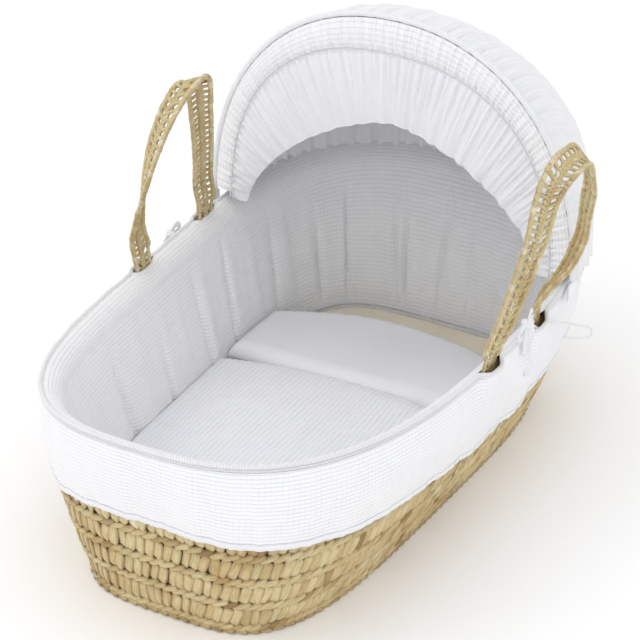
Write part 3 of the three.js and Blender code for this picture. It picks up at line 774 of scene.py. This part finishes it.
def ring_angles(count=900):
    """Angles round the rim at equal lengths, with the first repeated at the end, and their lengths."""
    angle, around = even_angles(count, 0.26)
    angle = np.concatenate([angle, [angle[0] + 2 * np.pi]])
    return angle, np.linspace(0, round(around / 0.0062) * 0.0062, count + 1)


def foot_bulge(angle, width=SLOT_HALF):
    """How strongly the skirt stands off to let a strap through, from 0 to 1, for each angle."""
    x = outline(RIM, angle)[0]
    side = np.sign(np.sin(angle))
    total = np.zeros_like(x)
    for fx, fs in FEET.values():
        total = total + np.exp(-((x - fx) / width) ** 4) * (side == fs)
    return np.clip(total, 0, 1)


def pucker(angle, seed):
    """Irregular soft folds round the basket, about one unit high."""
    return ripples(angle, [(17, 0.45), (29, 0.55), (43, 0.50), (71, 0.35), (113, 0.22)], seed)


def ring_grid(rows, angle):
    """Two grids over a ring of cloth: the share of its height, from 0 to 1, and the angle."""
    return np.meshgrid(np.linspace(0, 1, rows), angle, indexing="ij")


def cloth_uv(length, height):
    """Cloth coordinates in metres: along the ring, and up the cloth."""
    return np.stack(np.broadcast_arrays(length, height), -1)


def crimps(angle):
    """The tiny even gathers that a stitched edge draws up."""
    return np.sin(173 * angle + 2 * np.sin(9 * angle))


def ring_cord(name, angle, z, offset, radius, material, sides=5):
    """A cord or a row of stitching round the basket."""
    tube(name, wall(angle, z, offset), radius, material, "basket", sides, closed=True)


def add_skirt(waffle, cotton):
    """The skirt hangs outside the wall from the rim to its hem, lower where it is slack on the right."""
    angle, length = ring_angles()
    t, a = ring_grid(64, angle)
    bulge = foot_bulge(a)
    x = outline(RIM, angle)[0]
    slack = smoothstep(-np.sin(a) / 0.5) * smoothstep((x + 0.20) / 0.25) * smoothstep((0.36 - x) / 0.12)
    z = rim_top(a) - SKIRT_DEPTH * (1 - t) - 0.0015 - SLOT_DIP * bulge * smoothstep((t - 0.75) / 0.25)
    z = z - SKIRT_SLACK * slack * (1 - t) ** 1.5
    z = z + 0.0016 * ripples(a, [(3, 0.6), (7, 0.5), (11, 0.4)], 5) * (1 - t)
    drift = 0.005 * np.sin(3 * a + 2.5 * t)
    folds = pucker(a + drift + 0.012 * t, 11) * (0.0008 * (1 - t) ** 1.2 + 0.00035)
    belly = 0.0062 + 0.0032 * foot_bulge(a, 0.030) + 0.0030 * np.sin(np.pi * t) ** 0.8 - 0.0006 * (1 - t)
    gather = 0.0005 * np.exp(-((t - 0.02) / 0.07) ** 2) * crimps(a)
    offset = belly + folds + gather + SLOT_STAND_OFF * bulge * smoothstep((t - 0.45) / 0.5)
    piece = add_mesh("skirt", wall(a, z, offset), grid_faces(*a.shape), waffle, "basket",
                     cloth_uv(length, SKIRT_DEPTH * 1.02 * t))
    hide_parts("dressing_skirt", "skirt_elastic")
    add_hem(angle, length, z[0], offset[0], cotton)


def add_hem(angle, length, z, offset, cotton):
    """The folded hem along the skirt's lower edge, with its two rows of stitching."""
    h, a = ring_grid(8, angle)
    swell = 0.0016 * np.sin(np.pi * h) ** 0.5
    band = wall(a, z - 0.0012 + HEM_HEIGHT * h, offset + swell + 0.0002)
    hem = add_mesh("skirt_hem", band, grid_faces(*a.shape), cotton, "basket",
                   cloth_uv(length, HEM_HEIGHT * h))
    for k, height in enumerate((0.0022, 0.0086)):
        ring_cord(f"hem_stitch_{k}", angle[:-1], z[:-1] + height, offset[:-1] + 0.0016, 0.00042, cotton)


def add_rim(cotton, piping_cloth):
    """The outer seam: a piped edge with a stitched flange under it."""
    angle = ring_angles()[0][:-1]
    gap = foot_bulge(angle)
    top = rim_top(angle) - SLOT_DIP * gap
    out = SLOT_STAND_OFF * gap
    wobble = 0.0004 * ripples(angle, [(31, 0.6), (53, 0.5)], 8)
    for name, offset, drop, radius in (("rim_piping", 0.0078, 0.0010, 0.0028),
                                       ("rim_flange", 0.0074, 0.0060, 0.0019)):
        ring_cord(name, angle, top - drop + wobble, offset + out + wobble, radius, piping_cloth, 10)
    for k, drop in enumerate((0.0036, 0.0088)):
        ring_cord(f"rim_stitch_{k}", angle, top - drop, 0.0078 + out, 0.0005, cotton)


def tucks(angle, height, seed, count=30):
    """Soft upright tucks in the liner: narrow creases at uneven places that deepen and slant downwards."""
    local = np.random.default_rng(seed)
    total = np.zeros_like(angle + height)
    places = (np.arange(count) + local.uniform(-0.38, 0.38, count)) / count * 2 * np.pi
    for place in places:
        slant = local.normal(0, 0.035)
        wide = local.uniform(0.008, 0.022)
        deep = local.uniform(0.35, 1.0)
        away = (angle - place - slant * (1 - height) + np.pi) % (2 * np.pi) - np.pi
        share = smoothstep((local.uniform(0.9, 1.25) - height) / local.uniform(0.45, 0.9))
        valley = np.exp(-np.abs(away / wide) ** 1.3)
        total = total + deep * share * valley
    return total


def add_liner(waffle):
    """The liner: it hangs inside the wall, and its top edge turns out over the rim to the outer seam."""
    angle, length = ring_angles()
    t, a = ring_grid(84, angle)
    foot = BASE_TOP + 0.0035
    z = foot + (rim_top(a) - LINER_TURN_OVER - foot) * t
    low = smoothstep((0.070 - z) / 0.05)
    soft = 0.0013 * pucker(a + 0.02 * np.sin(2 * a + 3 * t) * (1 - t), 61)
    valley = np.clip(tucks(a, t, 63), 0, 1)
    body = np.sin(np.pi * np.clip((t - 0.08) / 0.92, 0, 1)) ** 0.9 * (1 - low)
    plump = body * (0.0125 * (1 - valley) + soft)
    offset = LINER_INSIDE - 0.0008 - np.maximum(plump, 0)
    curl = np.linspace(0, 1, 17)[1:, None]
    gap = foot_bulge(angle)
    start, finish = offset[-1], 0.0066 - 0.0045 * gap
    height = rim_top(angle) - LINER_TURN_OVER * (1 - curl) ** 1.25
    height = height + (0.0003 * crimps(angle) - LINER_DIP * gap) * curl
    over = wall(angle, height, start + (finish - start) * curl ** 1.9)
    points = np.concatenate([wall(a, z, offset), over])
    rise = np.concatenate([0.205 * t[:, :1], 0.205 + 0.044 * curl])
    piece = add_mesh("liner", points, grid_faces(*points.shape[:2]), waffle, "basket", cloth_uv(length, rise))
    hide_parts("dressing_liner", "dressing_rim_cap")


# ------------------------------------------------------------------ bedding

def bed_plan(tau, sigma, z, offset, foot_x, head_x, bow):
    """Plan points of a layer: lines along X from the foot outline to a bowed head edge."""
    side = np.sign(tau)
    spread = 1 - (1 - np.abs(tau)) ** 2.2
    ring = wall(np.linspace(np.pi / 2, np.pi, 2001), z, offset)
    reach = ring[0, 1]
    y_edge = spread * reach
    order = np.argsort(ring[:, 1])
    x_foot = np.maximum(np.interp(y_edge, ring[order, 1], ring[order, 0]), foot_x)
    head = head_x - bow + np.sqrt(np.maximum(bow ** 2 - (y_edge * 0.98) ** 2, 0))
    x = x_foot + (head - x_foot) * sigma
    half_ring = wall(np.linspace(0.02, np.pi - 0.02, 1501), z, offset)
    limit = np.minimum(np.interp(-x, -half_ring[:, 0], half_ring[:, 1]), reach * 1.2)
    blend = smoothstep((x + 0.12) / 0.12)
    return x, side * (y_edge * (1 - blend) + spread * limit * blend)


def add_mattress(knit, piping_cloth):
    """A flat pad with a rounded edge that fills the basket's floor, in rings from below to above."""
    around = 360
    angle = np.linspace(0, 2 * np.pi, around, endpoint=False)
    low, top = BASE_TOP, MATTRESS_TOP
    level, half = 0.5 * (low + top), 0.5 * (top - low)
    inset = LINER_INSIDE - 0.0032
    edge = wall(angle, level, inset)
    centre = edge.mean(0)
    radii = np.linspace(0.0, 1.0, 46)[::-1, None] ** 0.6
    rise = np.minimum((1 - radii) * 0.17 / 0.012, 1.0)
    turned = np.sqrt(np.maximum(0, 1 - (1 - rise) ** 2))
    pull = 0.0012 * ripples(angle, [(9, 0.5), (14, 0.4), (5, 0.6)], 3) * rise
    upper = centre + (edge - centre) * radii[..., None]
    upper[..., 2] = level + (half - 0.0002) * turned + np.minimum(pull, 0.0008)
    lower = upper[:0:-1].copy()
    lower[..., 2] = low + 0.0003 + half * (1 - turned[:0:-1])
    points = np.concatenate([lower, upper])
    count = len(points)
    caps = [list(range(around - 1, -1, -1)), list(range((count - 1) * around, count * around))]
    piece = add_mesh("mattress", points, grid_faces(count, around, close_cols=True), knit, "mattress",
                     points[..., :2], None, caps)
    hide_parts("mattress_cover", "mattress_foam")
    for name, z in (("mattress_piping_top", top - 0.0045), ("mattress_piping_low", low + 0.0050)):
        cord = tube(name, wall(angle, z, inset + 0.0002), 0.0016, piping_cloth, "mattress", 7, closed=True)


def puffed(x, y, edge, height, base):
    """Upper and lower surfaces of a soft pad, from a plan grid and its distance to the edge."""
    rise = np.sqrt(np.maximum(0, 1 - (1 - np.clip(edge / 0.020, 0, 1)) ** 2))
    seam = 0.42 * height
    top = base + seam + 0.58 * height * rise
    low = base + seam - (seam - 0.0004) * np.clip(rise * 1.4, 0, 1)
    return np.stack([x, y, top], -1), np.stack([x, y, low], -1)


def pillow_faces(rows, cols):
    """Quads of two grids joined round their edges: the first grid, the second, and the sides."""
    first = grid_faces(rows, cols)
    total = rows * cols
    rim = np.concatenate([np.arange(cols), np.arange(1, rows) * cols + cols - 1,
                          (rows - 1) * cols + np.arange(cols - 2, -1, -1), np.arange(rows - 2, 0, -1) * cols])
    ahead = np.roll(rim, -1)
    return first, (first + total)[:, ::-1], np.stack([rim, ahead, ahead + total, rim + total], 1)


def add_pad(name, node, foot_x, head_x, bow, inset, base, height, material, piping_cloth, seed):
    """One soft layer of the coverlet, piped along its head edge."""
    rows, cols = 150, 190
    sigma = 0.5 - 0.5 * np.cos(np.pi * np.linspace(0, 1, rows))
    s, t = np.meshgrid(sigma, np.linspace(-1, 1, cols), indexing="ij")
    x, y = bed_plan(t, s, base + 0.5 * height, inset, foot_x, head_x, bow)
    reach = x[-1:] - x[:1]
    side_gap = np.abs(y).max(axis=1, keepdims=True) - np.abs(y)
    edge = np.maximum(np.minimum(side_gap, np.minimum(s, 1 - s) * reach), 0)
    upper, lower = puffed(x, y, edge, height, base)
    local = np.random.default_rng(seed)
    swell = np.zeros_like(x)
    for _ in range(26):
        kx, ky = local.normal(0, 16, 2)
        swell += np.sin(kx * x + ky * y + local.uniform(0, 6.28)) * 0.00085
    crown = -0.0015 + 0.0030 * np.clip(side_gap / 0.12, 0, 1)
    wave = np.sin(t * 96 + 2 * np.sin(t * 13)) * np.exp(-((1 - s) * reach / 0.018) ** 2) * 0.0007
    upper[..., 2] += (swell + crown) * np.clip(edge / 0.03, 0, 1) + wave
    points = np.concatenate([upper.reshape(-1, 3), lower.reshape(-1, 3)])
    top, bottom, sides = pillow_faces(rows, cols)
    faces = np.concatenate([top, bottom, sides[:, ::-1]])
    uv = np.tile(np.stack([x, y], -1).reshape(-1, 2), (2, 1))
    piece = add_mesh(name, points, faces, material, "coverlet", uv)
    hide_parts(node)
    line = np.stack([x[-1] + 0.0008, y[-1], np.full(cols, base + 0.45 * height)], -1)
    tube(name + "_piping", line[2:-2], 0.0019, piping_cloth, "coverlet", 8)
    return piece


def add_bedding(knit, waffle, cotton, piping_cloth):
    add_mattress(knit, piping_cloth)
    base = MATTRESS_TOP + 0.0004
    quilt = add_pad("coverlet_panel", "coverlet_quilt", -0.352, 0.094, 0.560, LINER_INSIDE - 0.0062, base,
                    0.0310, waffle, piping_cloth, 5)
    band = add_pad("coverlet_band", "coverlet_turnback", 0.086, 0.250, 0.300, LINER_INSIDE - 0.0100, base,
                   0.0370, cotton, piping_cloth, 9)


# ------------------------------------------------------------------ hood

# Each arch is (half width, height, roundness of its corners).
ARCHES = {
    "wire": (0.2512, 0.2852, ARCH_POWER), "channel": (0.2475, 0.2810, ARCH_POWER),
    "seam": (0.2230, 0.2400, 2.30), "frill": (0.2050, 0.1460, 1.50),
}


def arch_curve(name, around):
    """Half-width direction and height of an arch, for angles that run from one side to the other."""
    half, radius, power = ARCHES[name]
    c, s = np.cos(around), np.sin(around)
    k = (np.abs(c) ** power + np.abs(s) ** power) ** (-1 / power)
    height = radius * s * k
    return half * c * k, height - droop(height)


def droop(height):
    """How far the hood's sides hang below its pivots, so that they close on the rim."""
    return 0.017 * np.exp(-height / 0.045)


def even_arch(name, count, start=0.07):
    fine = np.linspace(start, np.pi - start, 2001)
    y, z = arch_curve(name, fine)
    length = np.concatenate([[0], np.cumsum(np.hypot(np.diff(y), np.diff(z)))])
    return np.interp(np.linspace(0, length[-1], count), length, fine), length[-1]


def gathers(across, along, folds, seed):
    """Gathered cloth: rounded folds across the cloth whose positions drift, merge and part along it."""
    local = np.random.default_rng(seed)
    shift = np.zeros_like(across + along)
    for wave in (2, 3, 5, 8, 13):
        shift = shift + local.normal(0, 0.9) / wave ** 0.6 * np.sin(
            2 * np.pi * wave * across + local.uniform(0, 6.28) + local.normal(0, 1.3) * along)
    fold = np.sin(2 * np.pi * folds * across + shift)
    second = np.sin(2 * np.pi * folds * 1.63 * across + 1.7 * shift + 2.2 * along)
    third = np.sin(2 * np.pi * folds * 0.41 * across - 0.6 * shift - 1.4 * along)
    return 0.62 * fold + 0.30 * second + 0.30 * third


def hood_surface(around, share, inset=0.0):
    """A point on the hood's cover: `share` runs from the front arch down to the hem."""
    turn = (1 - share) * np.pi / 2
    power = ARCH_POWER + 0.36 * share
    sag = smoothstep(share)
    radius = 0.2815 - 0.0385 * sag - inset
    half = 0.2475 - 0.002 * sag - inset
    c, s = np.cos(around), np.sin(around)
    k = (np.abs(c) ** power + np.abs(s) ** power) ** (-1 / power)
    r = radius * s * k
    x = HOOD_PIVOT[0] + r * np.cos(turn)
    y = half * c * k
    z = HOOD_PIVOT[1] + r * np.sin(turn) - 0.004 * share - droop(r) * (1 - share)
    return np.stack([x, y, z], -1)


def add_cover(name, material, inset, depth, seed, nodes, folds=50):
    """One gathered layer of the hood, from the front arch down to the rim behind it."""
    cols, rows = 1000, 84
    around, length = even_arch("channel", cols)
    share, a = np.meshgrid(np.linspace(0, 1, rows), around, indexing="ij")
    along_arch = np.linspace(0, 1, cols)
    shell = hood_surface(a, share, inset)
    shell[..., 2] -= 0.020 * smoothstep((share - 0.86) / 0.14)
    out = unit(np.cross(np.gradient(shell, axis=0), np.gradient(shell, axis=1)))
    centre = np.array([HOOD_PIVOT[0], 0.0, HOOD_PIVOT[1]])
    out = out * np.sign(np.sum(out * (shell - centre), -1, keepdims=True))
    strength = 0.24 + 0.60 * np.exp(-(share / 0.16) ** 2) + 0.50 * np.exp(-((1 - share) / 0.20) ** 2)
    side = np.sin(a) ** 0.5
    fold = gathers(along_arch, share * 1.6, folds, seed) * strength * depth * (0.45 + 0.55 * side)
    billow = 0.0035 * np.sin(np.pi * share) ** 0.8 * (1 + 0.6 * np.sin(17 * along_arch + 2 * share)) * side
    tuck = np.exp(-(share / 0.03) ** 2)
    stand = (fold + billow - 0.4 * depth) * (1 - tuck) + 0.12 * fold * tuck
    points = shell + out * stand[..., None]
    uv = cloth_uv(along_arch * length * 1.35, share * 0.40)
    piece = add_mesh(name, points, grid_faces(rows, cols), material, None, uv)
    if nodes:
        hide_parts(*nodes)
    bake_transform(piece)
    return piece, float(length)


def add_front(name, outer, inner, folds, depth, grow, material, seed, lean, start, rows, node, wide=1.3):
    """A gathered band in the hood's front plane, between two arches.

    `grow` is the depth of its folds at the outer edge and at the inner one, and how far they calm down
    into broad ones. `lean` is how far each edge stands behind the plane, and how far the middle puffs out.
    """
    cols = 1100
    around, length = even_arch(outer, cols, start)
    y0, z0 = arch_curve(outer, around)
    y1, z1 = arch_curve(inner, even_arch(inner, cols, start)[0])
    across = np.linspace(0, 1, cols)
    share = np.linspace(0, 1, rows)[:, None] + 0 * across
    strength = depth * (grow[0] + (grow[1] - grow[0]) * share) * smoothstep(share / 0.06)
    calm = smoothstep((share - 0.25) / 0.6) * grow[2]
    fold = (gathers(across, share * 0.9, folds, seed) * (1 - calm)
            + gathers(across, share * 0.5, folds * 0.31, seed + 1) * calm)
    sway = 0.22 * strength * np.roll(fold, 6, axis=1) * (1 - 0.6 * share)
    x = HOOD_PIVOT[0] + lean[0] + (lean[1] - lean[0]) * share + fold * strength
    x = x - lean[2] * np.sin(np.pi * share) ** 0.7
    y = y0 + (y1 - y0) * share + sway * np.sign(np.cos(around))
    z = HOOD_PIVOT[1] + z0 + (z1 - z0) * share + sway
    points = np.stack([x, y, z], -1)
    tall = float(np.hypot(y0 - y1, z0 - z1).mean())
    uv = cloth_uv(across * length * wide, share * tall)
    piece = add_mesh(name, points, grid_faces(rows, cols), material, "hood", uv)
    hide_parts(node)
    return points


def add_hood(waffle, cotton, lining, piping_cloth):
    around, _ = even_arch("wire", 420, 0.03)
    radius = 0.0038 + 0.0003 * ripples(around, [(61, 0.5), (97, 0.5), (143, 0.4)], 12)
    channel = tube("hood_channel", front_line("wire", around), radius, cotton, "hood", 12)
    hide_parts("hood_wire")
    cover, length = add_cover("hood_cover", waffle, 0.0, 0.0052, 71,
                              ["hood_front_cover", "hood_middle_cover", "hood_rear_cover", "hood_hem"])
    inner, length = add_cover("hood_lining", lining, 0.0085, 0.0048, 77, [], 40)
    add_front("hood_gathered_band", "channel", "seam", 84, 0.0019, (0.9, 1.0, 0.0), waffle, 81,
              (-0.0015, -0.0035, 0.004), 0.055, 26, "hood_band", 1.25)
    frill = add_front("hood_cotton_frill", "seam", "frill", 74, 0.0030, (0.9, 0.8, 0.85), cotton, 85,
                      (-0.0035, 0.002, 0.003), 0.030, 44, "hood_frill", 1.3)
    tube("frill_hem", frill[-1], 0.0011, cotton, "hood", 6)
    seam_around, _ = even_arch("seam", 420, 0.03)
    for k, (ahead, grow) in enumerate(((-0.0052, 1.008), (-0.0050, 0.992))):
        seam = front_line("seam", seam_around, ahead, grow)
        tube(f"hood_seam_stitch_{k}", seam, 0.0007, cotton, "hood", 6)
    for name, side in (("left", 1), ("right", -1)):
        add_pocket(name, side, cotton)


def front_line(arch, around, ahead=0.0, grow=1.0):
    """An arch's line in the hood's front plane, moved along X and scaled about the pivot."""
    y, z = arch_curve(arch, around)
    return np.stack([np.full_like(y, HOOD_PIVOT[0] + ahead), y * grow, HOOD_PIVOT[1] + z * grow], -1)


def add_pocket(name, side, cotton):
    """A small stitched patch that takes the end of the hood's wire."""
    low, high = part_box(f"hood_pocket_{name}")
    n = 16
    u, v = np.meshgrid(np.linspace(-1, 1, n), np.linspace(-1, 1, n), indexing="ij")
    rise = np.sqrt(np.maximum(0, (1 - u ** 4) * (1 - v ** 4)))
    centre = [(a + b) / 2 for a, b in zip(low, high)]
    x = centre[0] + 0.012 * u * (1 - 0.06 * v ** 2)
    z = centre[2] + 0.012 * v * (1 - 0.06 * u ** 2)
    front = np.stack([x, centre[1] + side * 0.0024 * rise, z], -1)
    back = np.stack([x, centre[1] - side * (0.0016 * rise + 0.0002), z], -1)
    points = np.concatenate([front.reshape(-1, 3), back.reshape(-1, 3)])
    uv = np.tile(np.stack([x, z], -1).reshape(-1, 2), (2, 1))
    piece = add_mesh(f"wire_pocket_{name}", points, np.concatenate(pillow_faces(n, n)), cotton, "basket", uv)
    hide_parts(f"hood_pocket_{name}")


# ------------------------------------------------------------------ build

def main():
    palm = palm_material("palm_leaf")
    # The darker leaf copy is painted shade for the cores seen between the strips.
    palm_painted_shade = palm_material("palm_core_painted_shade", 0.42)
    waffle = waffle_material("waffle_white", (0.895, 0.895, 0.905))
    quilt = waffle_material("waffle_quilt", (0.89, 0.895, 0.925), (0.0066, 0.0066))
    cotton = cotton_material("cotton_white", (0.90, 0.903, 0.93))
    # The hood's lining is the cotton made a little darker and greyer: painted shade for the inside of the
    # hood.
    lining = cotton_material("cotton_lining_painted_shade", (0.87, 0.87, 0.89), wrinkle=0.5)
    knit = knit_material("mattress_knit", (0.91, 0.84, 0.67))
    piping = twist_material("piping_cotton", (0.83, 0.83, 0.84))
    add_camera()
    add_studio()
    add_ties(cotton)
    add_palm_wall(palm, palm_painted_shade)
    add_base_rings(palm)
    add_straps(palm)
    add_skirt(waffle, cotton)
    add_rim(cotton, piping)
    add_liner(waffle)
    add_bedding(knit, quilt, cotton, piping)
    add_hood(waffle, cotton, lining, piping)


main()
